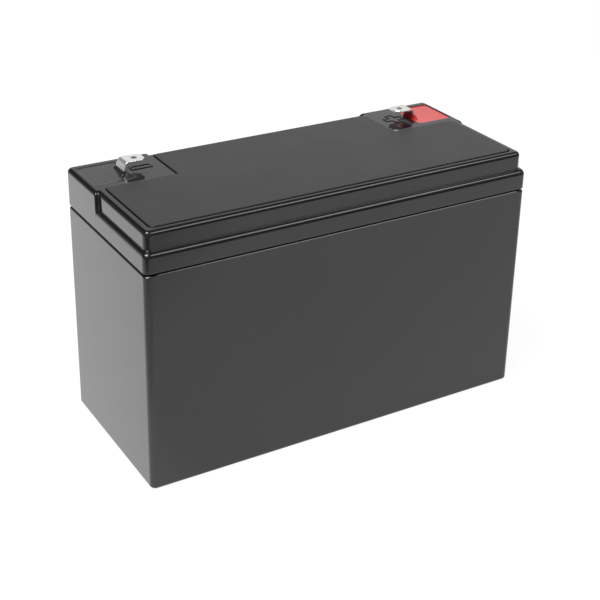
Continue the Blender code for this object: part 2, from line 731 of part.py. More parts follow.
def make_separator(cell, glass_mat):
    """One glass mat, folded to and fro round the plates' upright edges."""
    mats = [(low + high) / 2 for kind, low, high in layers(cell) if kind == "mat"]
    reach = plate_half_width()
    half = MAT_THICKNESS / 2
    left, right = [], []
    heading = 1
    for x, following in zip(mats, mats[1:] + [None]):
        left.append((x - half, -heading * reach))
        right.append((x + half, -heading * reach))
        if following is None:
            left.append((x - half, heading * reach))
            right.append((x + half, heading * reach))
            break
        centre = (x + following) / 2
        radius = (following - x) / 2
        for step in range(ARC_STEPS + 1):
            angle = math.pi * (1 - step / ARC_STEPS)
            for line, bend in ((left, radius + half), (right, radius - half)):
                line.append((centre + bend * math.cos(angle), heading * (reach + bend * math.sin(angle))))
        heading = -heading
        left, right = right, left
    # After an odd number of folds the two edges have changed places.
    if len(mats) % 2 == 0:
        left, right = right, left
    outline = left + right[::-1]
    builder = bmesh.new()
    levels = (GROUP_BOTTOM, GROUP_TOP + MAT_RISE)
    add_rings(builder, [[(x, y, z) for x, y in outline] for z in levels])
    separator = object_from(f"separator_{cell + 1}", builder, glass_mat)
    set_origin(separator, cell_centre(cell), 0.0, GROUP_BOTTOM)
    return separator


def make_group(cell, positive, lead):
    """The plates of one polarity in one cell, their lugs and strap, and the strap's way out of the cell."""
    kind = "positive" if positive else "negative"
    side = strap_side(cell, positive)
    strap_y = side * TERMINAL_Y
    reach = plate_half_width()
    low_x, high_x = None, None
    builder = bmesh.new()
    profile = [
        (-reach, GROUP_BOTTOM),
        (reach, GROUP_BOTTOM),
        (reach, GROUP_TOP),
        (strap_y + LUG_WIDTH / 2, GROUP_TOP),
        (strap_y + LUG_WIDTH / 2, STRAP_BOTTOM + STRAP_THICKNESS / 2),
        (strap_y - LUG_WIDTH / 2, STRAP_BOTTOM + STRAP_THICKNESS / 2),
        (strap_y - LUG_WIDTH / 2, GROUP_TOP),
        (-reach, GROUP_TOP),
    ]
    for layer, low, high in layers(cell):
        if layer != kind:
            continue
        add_rings(builder, [[(x, y, z) for y, z in profile] for x in (low, high)])
        low_x = low if low_x is None else low_x
        high_x = high
    name = f"{kind}_group_{cell + 1}"
    group = object_from(name, builder, lead)
    set_origin(group, cell_centre(cell), 0.0, GROUP_BOTTOM)
    end_cell = CELL_COUNT - 1 if positive else 0
    outward = 1 if positive else -1
    wall_x = cell_centre(cell) + outward * (CELL_LENGTH / 2 - CLEARANCE)
    if cell == end_cell:
        low = (low_x, strap_y - STRAP_WIDTH / 2, STRAP_BOTTOM)
        high = (high_x, strap_y + STRAP_WIDTH / 2, STRAP_TOP)
        join(group, box(f"{name}_strap", low, high))
        post = [
            (POST_RADIUS, STRAP_BOTTOM + STRAP_THICKNESS / 2),
            (POST_RADIUS, POST_TOP),
            (PEG_RADIUS, POST_TOP),
            (PEG_RADIUS, FOOT_Z + PEG_RISE),
        ]
        join(group, turned(f"{name}_post", outward * POST_X, strap_y, post))
        return group
    low_x, high_x = min(low_x, wall_x), max(high_x, wall_x)
    tongue_x = wall_x - outward * TONGUE_THICKNESS
    tongue_top = PARTING_HEIGHT - TONGUE_TOP_DROP
    strap = [(low_x, STRAP_BOTTOM), (high_x, STRAP_BOTTOM)]
    if outward > 0:
        strap += [(high_x, tongue_top), (tongue_x, tongue_top), (tongue_x, STRAP_TOP), (low_x, STRAP_TOP)]
    else:
        strap += [(high_x, STRAP_TOP), (tongue_x, STRAP_TOP), (tongue_x, tongue_top), (low_x, tongue_top)]
    builder = bmesh.new()
    ends = (strap_y - STRAP_WIDTH / 2, strap_y + STRAP_WIDTH / 2)
    add_rings(builder, [[(x, y, z) for x, z in strap] for y in ends])
    join(group, object_from(f"{name}_strap", builder))
    boss_end = wall_x + outward * (CLEARANCE + CELL_WALL) / 2
    ring = circle(WELD_HOLE_RADIUS - CLEARANCE, SMALL_SIDES)
    builder = bmesh.new()
    ends = (wall_x - outward * TONGUE_THICKNESS / 2, boss_end)
    add_rings(builder, [[(x, strap_y + dy, WELD_Z + dz) for dy, dz in ring] for x in ends])
    join(group, object_from(f"{name}_boss", builder))
    return group


def shade(obj):
    obj.data.shade_smooth()
    obj.data.set_sharp_from_angle(angle=SMOOTH_ANGLE)


def parent_all(name):
    """One empty carries every piece and every cutter, so that the battery moves as a whole."""
    whole = bpy.data.objects.new(name, None)
    for obj in bpy.context.scene.collection.objects:
        obj.parent = whole
    bpy.context.scene.collection.objects.link(whole)


def main():
    clear_scene()
    black_plastic = material("black_plastic", (0.018, 0.018, 0.019), 0.32)
    plate_plastic = material("plate_plastic", (0.016, 0.016, 0.017), 0.34)
    tin = material("tin_plate", (0.82, 0.82, 0.8), 0.25, 1.0)
    black_resin = material("black_resin", (0.02, 0.02, 0.021), 0.15)
    red_resin = material("red_resin", (0.62, 0.03, 0.035), 0.2)
    rubber = material("rubber", (0.02, 0.02, 0.02), 0.7)
    lead = material("lead", (0.24, 0.25, 0.27), 0.5, 1.0)
    glass_mat = material("glass_mat", (0.78, 0.78, 0.75), 0.95)
    pieces = [make_container(black_plastic), make_lid(black_plastic), make_cover_plate(plate_plastic)]
    poles = (
        (-1, "negative", NEGATIVE_RESIN_DROP, black_resin),
        (1, "positive", POSITIVE_RESIN_DROP, red_resin),
    )
    for side, name, drop, resin in poles:
        pieces.append(make_terminal(f"{name}_terminal", side, tin))
        pieces.append(make_well_resin(f"{name}_well_resin", side, drop, resin))
        pieces.append(make_post_seal(f"{name}_post_seal", side, rubber))
    for cell in range(CELL_COUNT):
        pieces.append(make_valve_cap(cell, rubber))
        pieces.append(make_group(cell, True, lead))
        pieces.append(make_group(cell, False, lead))
        pieces.append(make_separator(cell, glass_mat))
    for piece in pieces:
        shade(piece)
    parent_all("battery")


main()
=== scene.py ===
"""The looks of a sealed lead-acid battery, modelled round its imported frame.

Sizes are in metres. The battery's long side lies along X, its front is at -Y and it stands on z = 0.
"""

import json
import math

import bmesh
import bpy
from mathutils import Matrix, Vector

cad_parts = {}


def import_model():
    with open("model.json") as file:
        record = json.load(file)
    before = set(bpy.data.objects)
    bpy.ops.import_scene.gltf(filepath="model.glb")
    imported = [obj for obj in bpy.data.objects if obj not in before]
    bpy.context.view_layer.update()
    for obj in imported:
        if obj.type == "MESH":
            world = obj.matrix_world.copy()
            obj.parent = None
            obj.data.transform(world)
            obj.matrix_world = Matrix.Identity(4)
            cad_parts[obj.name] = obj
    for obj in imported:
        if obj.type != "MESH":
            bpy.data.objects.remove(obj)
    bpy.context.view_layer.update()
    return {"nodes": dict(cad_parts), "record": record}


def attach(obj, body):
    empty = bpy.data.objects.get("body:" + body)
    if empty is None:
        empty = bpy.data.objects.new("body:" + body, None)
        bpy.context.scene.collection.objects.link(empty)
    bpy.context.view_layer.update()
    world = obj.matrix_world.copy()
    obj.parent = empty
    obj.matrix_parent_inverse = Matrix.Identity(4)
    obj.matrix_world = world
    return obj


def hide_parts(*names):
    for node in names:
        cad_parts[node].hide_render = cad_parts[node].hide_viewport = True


MM = 0.001

# Sizes that the frame's pieces have as well, repeated here because each visible piece lies where its
# node does
CASE_LENGTH = 151.0 * MM
CASE_WIDTH = 65.0 * MM
CASE_HEIGHT = 94.0 * MM
LID_HEIGHT = 14.0 * MM
LEDGE_DROP = 6.5 * MM
LEDGE_STEP = 2.1 * MM
LEDGE_END_SHARE = 0.6
UPRIGHT_RADIUS = 2.2 * MM
BLOCK_LENGTH = 30.8 * MM
BLOCK_DEPTH = 26.0 * MM
BLOCK_TURN_SHARE = 0.28
CLEARANCE = 0.3 * MM
WALL = 2.4 * MM
PLATE_THICKNESS = 1.3 * MM
PLATE_RISE = 0.3 * MM
PLATE_END_MARGIN = 4.4 * MM
PLATE_FRONT_MARGIN = 4.9 * MM
PLATE_BACK_MARGIN = 3.7 * MM
PLATE_SHOULDER_GAP = 1.8 * MM
PLATE_RADIUS = 2.0 * MM
WELL_LENGTH = 14.6 * MM
WELL_END_MARGIN = 1.9 * MM
WELL_FRONT_MARGIN = 3.3 * MM
WELL_BACK_MARGIN = 3.6 * MM
WELL_RADIUS = 1.2 * MM
WELL_DEPTH = 8.0 * MM
NEGATIVE_RESIN_DROP = 0.1 * MM
MARK_INNER_MARGIN = 4.0 * MM
MARK_OUTER_MARGIN = 2.3 * MM
MARK_BAR_SHARE = 0.4
MARK_BORDER = 0.55 * MM
MARK_FLOOR = 0.05 * MM
TAB_THICKNESS = 0.8 * MM
TAB_WIDTH = 6.35 * MM
TAB_BASE_WIDTH = 7.6 * MM
BLADE_LENGTH = 7.25 * MM
BLADE_GAP = 3.15 * MM
BLADE_HOLE_RADIUS = 1.1 * MM
BLADE_HOLE_SETBACK = 3.2 * MM
TIP_CUT = 1.3 * MM
TAB_BEND = 1.1 * MM
RISER_SLOPE = 0.38
RISER_RIM_MARGIN = 1.6 * MM
FOOT_DROP = 2.6 * MM
FOOT_TAIL = 3.0 * MM

# Sizes that differ from the frame's by a fraction of a millimetre, to look closer to the real battery
LEDGE_ROUND = 1.8 * MM
MARK_RISE = 0.28 * MM
POSITIVE_RESIN_DROP = 0.45 * MM
SEAM_GAP = 0.4 * MM
# Each row of the shoulder under the seam: how far in it is at the ends, how far in along the long sides,
# how far below the seam, and how much rounder its corners are, all in millimetres.
SEAM_SHOULDER = (
    (0.0, 0.0, 1.0, 0.0),
    (0.14, 0.0, 0.55, 0.5),
    (0.36, 0.0, 0.29, 1.3),
    (0.56, 0.17, 0.12, 2.1),
    (0.95, 0.61, 0.0, 2.8),
)
# The first of these rows whose edge is a sharp crease, as those after it are
SEAM_FIRST_CREASE = 2

# Rounding of edges, and how far the resins creep up the walls and the tabs
BASE_ROUND = 1.2 * MM
RIM_ROUND = 1.6 * MM
LEDGE_FILLET = 0.3 * MM
SEAM_ROUND_ABOVE = 0.3 * MM
PLATE_ROUND = 0.3 * MM
RECESS_ROUND = 0.2 * MM
LEAST_CORNER = 0.6 * MM
MARK_ROUND = 0.3 * MM
MARK_EDGE = 0.16 * MM
TAB_EDGE = 0.26 * MM
MENISCUS = 0.14 * MM
MENISCUS_REACH = 0.8 * MM
WELL_EDGE = 0.3 * MM
RESIN_FILM = 0.05 * MM
RESIN_COLLAR = 0.35 * MM
RESIN_FILM_ROOT = 0.1 * MM
COLLAR_ROUND = 0.3 * MM
COLLAR_ROUND_ADDED = 0.1 * MM
RESIN_CURVE = 3
NEGATIVE_CLIMB = 1.2 * MM
POSITIVE_CLIMB = 2.1 * MM

# The floor: its size, its levels for camera and mirrored rays, and where those levels change, in metres
FLOOR_REACH = 4.0
FLOOR_DROP = 0.2 * MM
FLOOR_GLOW = 0.93
FLOOR_MIRRORED = 1.08
FLOOR_SHADOW_SHARE = 0.12
FLOOR_WHITE = 0.9
FLAG_TOWARDS = (-0.7071, -0.7071, 0.0)
BOOST_TOWARDS = (-1.0, 0.0, 0.0)
NET_START = 0.105
NET_END = 0.15
NET_LEVEL = 0.62
FLAG_START = 0.205
FLAG_END = 0.26
FLAG_LEVEL = 0.05
BOOST_NEAR = 0.08
BOOST_BLEND = 0.03
BOOST_FAR = 0.32
BOOST_NEAR_LEVEL = 0.26
BOOST_FAR_LEVEL = 0.50
POOL_START = 0.28
POOL_END = 0.5
POOL_LEVEL = 0.4

# Fineness of the meshes
CORNER_STEPS = 12
EDGE_STEPS = 6
BEND_STEPS = 10
RESIN_STEPS = 8
HOLE_SIDES = 40
TIP_SHARES = (1.0, 0.5, 0.05)
HAIR = 0.02 * MM
MERGE_DISTANCE = HAIR / 400
SMALLEST_ARC = HAIR / 4
OVERLAP = 0.6 * MM
QUARTER_TURN = math.pi / 2
SHARP_ANGLE = math.radians(28)
FACE_AREA_WEIGHT = 90

# The light from all round: its level, and what is added to it or taken away about some directions, given
# as (direction, angle in degrees of full strength, angle where it ends, added level)
WORLD_BASE = 0.3
WORLD_LOBES = (
    ((0.50, 0.83, 0.22), 22, 38, 0.57),
    ((0.15, 0.35, 0.92), 35, 60, -0.22),
    ((-0.55, 0.78, 0.20), 28, 45, -0.17),
    ((0.40, -0.90, 0.10), 18, 30, -0.22),
)
BACKDROP_LEVEL = 1.0
WHITE = (1.0, 1.0, 1.0, 1.0)

# Softboxes as (name, position, width and height, radiance), all turned to the same point
LAMPS = (
    ("front_softbox", (0.75, -0.76, 1.25), (0.9, 0.45), 4.7),
    ("high_key", (-0.47, -0.15, 0.97), (0.52, 0.52), 13.0),
)
LAMP_AIM = Vector((0.0, 0.0, 0.05))

# Noises as (scale, detail, roughness, stretch), or the first few of these, over the piece in metres
PLASTIC_CLOUD = (22.0, 3.0, 0.55)
PLASTIC_SMUDGE = (60.0, 4.0, 0.6, (1.0, 1.0, 0.5))
PLASTIC_SWELL = (35.0, 1.0)
PLASTIC_GRAIN = (3200.0, 3.0, 0.6)
TIN_CLOUD = (260.0, 3.0, 0.6)
TIN_SCRATCHES = (900.0, 4.0, 0.7, (0.06, 1.0, 1.0))
TIN_SWELL = (130.0, 1.0)
RESIN_CLOUD = (150.0, 3.0, 0.6)
RESIN_HAZE = (420.0, 3.0, 0.6)
RESIN_SWELL = (110.0, 1.0)
RESIN_PITS = (1300.0, 1.0)
MOTTLE = (4.0, 0.6)
RELIEF = (3.0, 0.6)
RELIEF_FINER = 3
NOISE_RANGE = (0.3, 0.7)
PIT_RANGE = (0.62, 0.8)

# Plastics as (darkest and lightest colour, middle of the roughness, height of the grain)
PLASTICS = {
    "case_plastic": ((0.010, 0.010, 0.011), (0.013, 0.013, 0.014), 0.12, 0.004 * MM),
    "lid_plastic": ((0.009, 0.009, 0.010), (0.012, 0.012, 0.013), 0.06, 0.002 * MM),
    "cover_plastic": ((0.009, 0.009, 0.010), (0.012, 0.012, 0.013), 0.38, 0.004 * MM),
}
PLASTIC_ROUGHNESS_SPREAD = 0.02
PLASTIC_SWELL_HEIGHT = 0.01 * MM

# Tin plate: its darkest and lightest colour, and the range of its roughness
TIN_COLOURS = ((0.92, 0.92, 0.90), (0.97, 0.97, 0.95))
TIN_METALLIC = 0.87
TIN_ROUGHNESS = (0.27, 0.37)
TIN_SWELL_HEIGHT = 0.012 * MM
TIN_SCRATCH_DEPTH = 0.0015 * MM

# Resins as their darkest and lightest colour
RESINS = {
    "black_resin": ((0.015, 0.016, 0.015), (0.021, 0.022, 0.021)),
    "red_resin": ((0.58, 0.052, 0.050), (0.68, 0.070, 0.066)),
}
RESIN_ROUGHNESS = (0.08, 0.14)
RESIN_SWELL_HEIGHT = 0.035 * MM
RESIN_PIT_DEPTH = 0.012 * MM

# Finishes of the pieces inside, as (darkest and lightest colour, roughness, scale of the mottling, height
# of the relief, metallic)
HIDDEN_FINISHES = {
    "rubber": ((0.016, 0.016, 0.016), (0.026, 0.026, 0.026), 0.6, 300.0, 0.01 * MM, 0.0),
    "lead": ((0.20, 0.21, 0.23), (0.30, 0.31, 0.33), 0.5, 120.0, 0.03 * MM, 1.0),
    "glass_mat": ((0.70, 0.70, 0.67), (0.84, 0.84, 0.81), 0.9, 500.0, 0.05 * MM, 0.0),
}
HIDDEN_ROUGHNESS_SPREAD = 0.1

# Sizes and places that follow from those above
HALF_LENGTH = CASE_LENGTH / 2
HALF_WIDTH = CASE_WIDTH / 2
PARTING_HEIGHT = CASE_HEIGHT - LID_HEIGHT
LEDGE_HEIGHT = CASE_HEIGHT - LEDGE_DROP
LID_BOTTOM = PARTING_HEIGHT + SEAM_GAP
PLATE_TOP = CASE_HEIGHT + PLATE_RISE
PLATE_BOTTOM = PLATE_TOP - PLATE_THICKNESS
RECESS_FLOOR = PLATE_BOTTOM - CLEARANCE
BLOCK_INNER_X = HALF_LENGTH - BLOCK_LENGTH
BLOCK_FRONT_Y = HALF_WIDTH - BLOCK_DEPTH
RECESS_SHOULDER_Y = BLOCK_FRONT_Y + PLATE_SHOULDER_GAP + CLEARANCE
WELL_OUTER_X = HALF_LENGTH - WELL_END_MARGIN
WELL_INNER_X = WELL_OUTER_X - WELL_LENGTH
WELL_FRONT_Y = RECESS_SHOULDER_Y + WELL_FRONT_MARGIN
WELL_BACK_Y = HALF_WIDTH - WELL_BACK_MARGIN
TERMINAL_Y = (WELL_FRONT_Y + WELL_BACK_Y) / 2
POST_X = (WELL_INNER_X + WELL_OUTER_X) / 2
FOOT_Z = CASE_HEIGHT - FOOT_DROP
BLADE_Z = CASE_HEIGHT + BLADE_GAP + TAB_THICKNESS / 2
RISER_RIM_X = WELL_INNER_X + RISER_RIM_MARGIN
RISER_BASE_X = RISER_RIM_X + RISER_SLOPE * (CASE_HEIGHT - FOOT_Z)
RISER_TOP_X = RISER_RIM_X - RISER_SLOPE * (BLADE_Z - CASE_HEIGHT)
TIP_X = RISER_TOP_X - BLADE_LENGTH

# Camera, placed to match the photograph's view
CAMERA_AZIMUTH = math.radians(-31.02)
CAMERA_ELEVATION = math.radians(24.33)
CAMERA_ROLL = math.radians(1.16)
CAMERA_DISTANCE = 477.8 * MM
CAMERA_OFFSET = (0.1 * MM, 19.87 * MM)
CAMERA_AIM = Vector((0.0, 0.0, 47.0 * MM))
CAMERA_SENSOR = 36.0
CAMERA_LENS = 78.12
CAMERA_SHIFT_Y = -0.125


def link(obj):
    bpy.context.scene.collection.objects.link(obj)
    return obj


def object_from(name, builder):
    """Turns a bmesh into an object whose faces point out."""
    bmesh.ops.remove_doubles(builder, verts=builder.verts, dist=MERGE_DISTANCE)
    bmesh.ops.recalc_face_normals(builder, faces=builder.faces)
    mesh = bpy.data.meshes.new(name)
    builder.to_mesh(mesh)
    builder.free()
    return link(bpy.data.objects.new(name, mesh))


def bake_modifiers(obj):
    """Replaces the mesh with what its modifiers make of it."""
    graph = bpy.context.evaluated_depsgraph_get()
    baked = bpy.data.meshes.new_from_object(obj.evaluated_get(graph), depsgraph=graph)
    old = obj.data
    obj.modifiers.clear()
    obj.data = baked
    bpy.data.meshes.remove(old)


def combine(obj, others, operation):
    """Cuts other solids out of this one, or unites them with it, and drops them."""
    for other in others:
        modifier = obj.modifiers.new(other.name, "BOOLEAN")
        modifier.operation = operation
        modifier.solver = "EXACT"
        modifier.object = other
    bake_modifiers(obj)
    for other in others:
        bpy.data.objects.remove(other, do_unlink=True)


def add_rings(builder, rings):
    """A skin through rings of points of equal count, with a face at each end."""
    loops = [[builder.verts.new(point) for point in ring] for ring in rings]
    count = len(loops[0])
    for low, high in zip(loops, loops[1:]):
        for i in range(count):
            j = (i + 1) % count
            builder.faces.new((low[i], low[j], high[j], high[i]))
    builder.faces.new(list(reversed(loops[0])))
    builder.faces.new(loops[-1])


def rounded(corners, inset=0.0):
    """Outline of a rectilinear shape, anticlockwise, with each corner (x, y, radius) an arc.

    A positive inset moves the whole outline inwards, and its arcs stay concentric.
    """
    outline = []
    count = len(corners)
    for i, (x, y, radius) in enumerate(corners):
        corner = Vector((x, y))
        before = (corner - Vector(corners[i - 1][:2])).normalized()
        after = (Vector(corners[(i + 1) % count][:2]) - corner).normalized()
        inward = Vector((-before.y, before.x)) + Vector((-after.y, after.x))
        turn = before.x * after.y - before.y * after.x
        arc_radius = max(radius - turn * inset, SMALLEST_ARC)
        centre = corner + inward * inset + turn * inward * arc_radius
        start = math.atan2(-before.x * turn, before.y * turn)
        for step in range(CORNER_STEPS + 1):
            angle = start + turn * step / CORNER_STEPS * QUARTER_TURN
            outline.append((
                centre.x + arc_radius * math.cos(angle),
                centre.y + arc_radius * math.sin(angle),
            ))
    return outline


def rectangle(low_x, low_y, high_x, high_y, radius):
    return [
        (low_x, low_y, radius),
        (high_x, low_y, radius),
        (high_x, high_y, radius),
        (low_x, high_y, radius),
    ]


def mirrored(corners):
    """The same outline on the other side of the YZ plane, still anticlockwise."""
    return [(-x, y, radius) for x, y, radius in reversed(corners)]


def on_side(corners, side):
    return corners if side > 0 else mirrored(corners)


def round_out(radius, start):
    """Steps over the edge of a top, as (inset, height): up a wall and inwards onto the flat."""
    for step in range(EDGE_STEPS + 1):
        angle = step / EDGE_STEPS * QUARTER_TURN
        yield radius * (1 - math.cos(angle)), start + radius * math.sin(angle)


def round_foot(radius, start):
    """Steps round the edge of an underside, as (inset, height): from the flat outwards and up."""
    for step in range(EDGE_STEPS + 1):
        angle = step / EDGE_STEPS * QUARTER_TURN
        yield radius * (1 - math.sin(angle)), start + radius * (1 - math.cos(angle))


def stack(name, levels):
    """A skin through outlines at rising heights, given as (corners, inset, height)."""
    rings = [[(x, y, z) for x, y in rounded(corners, inset)] for corners, inset, z in levels]
    builder = bmesh.new()
    add_rings(builder, rings)
    return object_from(name, builder)


def box(name, low, high):
    builder = bmesh.new()
    ring = ((low[0], low[1]), (high[0], low[1]), (high[0], high[1]), (low[0], high[1]))
    add_rings(builder, [[(x, y, z) for x, y in ring] for z in (low[2], high[2])])
    return object_from(name, builder)


def cylinder(name, x, y, low, high, radius):
    angles = [2 * math.pi * i / HOLE_SIDES for i in range(HOLE_SIDES)]
    ring = [(radius * math.cos(angle), radius * math.sin(angle)) for angle in angles]
    builder = bmesh.new()
    add_rings(builder, [[(x + dx, y + dy, z) for dx, dy in ring] for z in (low, high)])
    return object_from(name, builder)


def finish_surface(obj, made_of):
    """Smooth shading that keeps flat faces flat and marked creases sharp, and the piece's material."""
    creases = [edge.index for edge in obj.data.edges if edge.use_edge_sharp]
    obj.data.shade_smooth()
    obj.data.set_sharp_from_angle(angle=SHARP_ANGLE)
    for index in creases:
        obj.data.edges[index].use_edge_sharp = True
    weighted = obj.modifiers.new("weighted normals", "WEIGHTED_NORMAL")
    weighted.keep_sharp = True
    weighted.weight = FACE_AREA_WEIGHT
    bake_modifiers(obj)
    obj.data.materials.clear()
    obj.data.materials.append(made_of)


# Outlines


def case_outline(end_inset=0.0, side_inset=0.0, rounder=0.0):
    """The jar's outline, optionally smaller at the ends or the sides and with rounder corners."""
    end = HALF_LENGTH - end_inset
    side = HALF_WIDTH - side_inset
    return rectangle(-end, -side, end, side, UPRIGHT_RADIUS + rounder)


def lid_outline(step, inset):
    """The case's outline, set back by a step all round but for the two terminal blocks."""
    end = HALF_LENGTH - step * LEDGE_END_SHARE - inset
    side = HALF_WIDTH - step - inset
    block_end = HALF_LENGTH - inset
    block_side = HALF_WIDTH - inset
    block_front = BLOCK_FRONT_Y + inset
    block_inner = BLOCK_INNER_X + inset
    turn = BLOCK_TURN_SHARE * step
    upright = max(UPRIGHT_RADIUS - inset, LEAST_CORNER)
    half = [
        (end, -side, upright),
        (end, block_front, turn),
        (block_end, block_front, turn),
        (block_end, block_side, upright),
        (block_inner, block_side, turn),
        (block_inner, side, turn),
    ]
    return half + mirrored(half)


def plate_outline(gap):
    """The T-shaped plate's outline, or its recess's outline when the gap round it is added."""
    end = HALF_LENGTH - PLATE_END_MARGIN + gap
    front = -HALF_WIDTH + PLATE_FRONT_MARGIN - gap
    back = HALF_WIDTH - PLATE_BACK_MARGIN + gap
    shoulder = RECESS_SHOULDER_Y - CLEARANCE + gap
    neck = BLOCK_INNER_X - CLEARANCE + gap
    half = [
        (end, front, PLATE_RADIUS),
        (end, shoulder, PLATE_RADIUS),
        (neck, shoulder, PLATE_ROUND),
        (neck, back, PLATE_RADIUS),
    ]
    return half + mirrored(half)


def well_outline():
    return rectangle(WELL_INNER_X, WELL_FRONT_Y, WELL_OUTER_X, WELL_BACK_Y, WELL_RADIUS)


# Moulded pieces


def make_case():
    """The jar: rounded foot, upright walls, a shoulder under the seam with the lid, and a hollow."""
    levels = [(case_outline(), inset, z) for inset, z in round_foot(BASE_ROUND, 0.0)]
    for at_end, at_side, below, rounder in SEAM_SHOULDER:
        outline = case_outline(at_end * MM, at_side * MM, rounder * MM)
        levels.append((outline, 0.0, PARTING_HEIGHT - below * MM))
    case = stack("case_jar", levels)
    mouth = WALL + CLEARANCE
    low = (-HALF_LENGTH + mouth, -HALF_WIDTH + mouth, WALL)
    high = (HALF_LENGTH - mouth, HALF_WIDTH - mouth, PARTING_HEIGHT + OVERLAP)
    combine(case, [box("jar_hollow", low, high)], "DIFFERENCE")
    creased = SEAM_SHOULDER[SEAM_FIRST_CREASE:]
    mark_creases(case, [PARTING_HEIGHT - below * MM for at_end, at_side, below, rounder in creased])
    return case


def mark_creases(obj, heights):
    """Makes the level edges at these heights sharp all the way round."""
    for edge in obj.data.edges:
        ends = [obj.data.vertices[index].co.z for index in edge.vertices]
        if any(max(abs(z - height) for z in ends) < SMALLEST_ARC for height in heights):
            edge.use_edge_sharp = True


def sunk(name, corners, floor, top, mouth):
    """A cutter for a recess whose mouth is rounded."""
    levels = [(corners, 0.0, floor)]
    for step in range(EDGE_STEPS + 1):
        angle = step / EDGE_STEPS * QUARTER_TURN
        levels.append((corners, -mouth * (1 - math.cos(angle)), top - mouth + mouth * math.sin(angle)))
    levels.append((corners, -mouth, top + OVERLAP))
    return stack(name, levels)


def make_lid():
    """The lid: a band flush with the jar, a rounded ledge, the top and its rim, and what is sunk in it."""
    levels = [(lid_outline(HAIR, inset), 0.0, z) for inset, z in round_foot(SEAM_ROUND_ABOVE, LID_BOTTOM)]
    for inset, z in round_out(LEDGE_ROUND, LEDGE_HEIGHT - LEDGE_ROUND):
        levels.append((lid_outline(HAIR + inset, 0.0), 0.0, z))
    for step in range(EDGE_STEPS + 1):
        angle = step / EDGE_STEPS * QUARTER_TURN
        out = LEDGE_FILLET * (1 - math.sin(angle))
        z = LEDGE_HEIGHT + HAIR + LEDGE_FILLET * (1 - math.cos(angle))
        levels.append((lid_outline(LEDGE_STEP - out, 0.0), 0.0, z))
    for inset, z in round_out(RIM_ROUND, CASE_HEIGHT - RIM_ROUND):
        levels.append((lid_outline(LEDGE_STEP, inset), 0.0, z))
    lid = stack("case_lid", levels)
    cutters = [sunk("plate_recess", plate_outline(CLEARANCE), RECESS_FLOOR, CASE_HEIGHT, RECESS_ROUND)]
    for side, name in ((-1, "negative"), (1, "positive")):
        well = on_side(well_outline(), side)
        cutters.append(sunk(f"{name}_well", well, CASE_HEIGHT - WELL_DEPTH, CASE_HEIGHT, WELL_EDGE))
    combine(lid, cutters, "DIFFERENCE")
    combine(lid, list(polarity_marks()), "UNION")
    combine(lid, list(mark_middles()), "DIFFERENCE")
    return lid


def mark_sizes():
    """The marks' middle x, and half the length and half the width of their bars."""
    inner_x = BLOCK_INNER_X + MARK_INNER_MARGIN
    outer_x = WELL_INNER_X - MARK_OUTER_MARGIN
    arm = (outer_x - inner_x) / 2
    return (inner_x + outer_x) / 2, arm, arm * MARK_BAR_SHARE


def polarity_marks():
    """Raised signs on the blocks: a bar beside the negative tab, and a cross beside the positive one."""
    middle, arm, bar = mark_sizes()
    low_y = TERMINAL_Y - bar
    high_y = TERMINAL_Y + bar
    minus = rectangle(-middle - arm, low_y, -middle + arm, high_y, MARK_ROUND)
    plus = [
        (middle - bar, TERMINAL_Y - arm, MARK_ROUND),
        (middle + bar, TERMINAL_Y - arm, MARK_ROUND),
        (middle + bar, low_y, MARK_ROUND),
        (middle + arm, low_y, MARK_ROUND),
        (middle + arm, high_y, MARK_ROUND),
        (middle + bar, high_y, MARK_ROUND),
        (middle + bar, TERMINAL_Y + arm, MARK_ROUND),
        (middle - bar, TERMINAL_Y + arm, MARK_ROUND),
        (middle - bar, high_y, MARK_ROUND),
        (middle - arm, high_y, MARK_ROUND),
        (middle - arm, low_y, MARK_ROUND),
        (middle - bar, low_y, MARK_ROUND),
    ]
    for name, outline in (("minus_mark", minus), ("plus_mark", plus)):
        edge = round_out(MARK_EDGE, CASE_HEIGHT + MARK_RISE - MARK_EDGE)
        levels = [(outline, 0.0, CASE_HEIGHT - OVERLAP)]
        yield stack(name, levels + [(outline, inset, z) for inset, z in edge])


def mark_middles():
    """Cutters that leave of each mark a raised border."""
    middle, arm, bar = mark_sizes()
    low_z = CASE_HEIGHT + MARK_FLOOR
    high_z = CASE_HEIGHT + MARK_RISE + OVERLAP
    long = arm - MARK_BORDER
    short = bar - MARK_BORDER
    for name, x, half_x, half_y in (
        ("minus_middle", -middle, long, short),
        ("plus_middle_along", middle, long, short),
        ("plus_middle_across", middle, short, long),
    ):
        low = (x - half_x, TERMINAL_Y - half_y, low_z)
        yield box(name, low, (x + half_x, TERMINAL_Y + half_y, high_z))


def make_cover():
    outline = plate_outline(0.0)
    edge = round_out(PLATE_ROUND, PLATE_TOP - PLATE_ROUND)
    levels = [(outline, 0.0, PLATE_BOTTOM)]
    return stack("vent_cover", levels + [(outline, inset, z) for inset, z in edge])


# Terminals


def bent_line(points, radius, steps):
    """A line through (x, z) points with each inner corner an arc, as (point, direction) along it."""
    corners = [Vector(point) for point in points]
    path = [(corners[0], (corners[1] - corners[0]).normalized())]
    for before, corner, after in zip(corners, corners[1:], corners[2:]):
        incoming = (corner - before).normalized()
        outgoing = (after - corner).normalized()
        angle = incoming.angle_signed(outgoing)
        side = Vector((-incoming.y, incoming.x)) * (-1 if angle > 0 else 1)
        centre = corner - incoming * radius * math.tan(abs(angle) / 2) + side * radius
        for step in range(steps + 1):
            turn = Matrix.Rotation(-angle * step / steps, 2)
            direction = turn @ incoming
            outward = Vector((direction.y, -direction.x)) * (-1 if angle > 0 else 1)
            path.append((centre + outward * radius, direction))
    path.append((corners[-1], (corners[-1] - corners[-2]).normalized()))
    return path


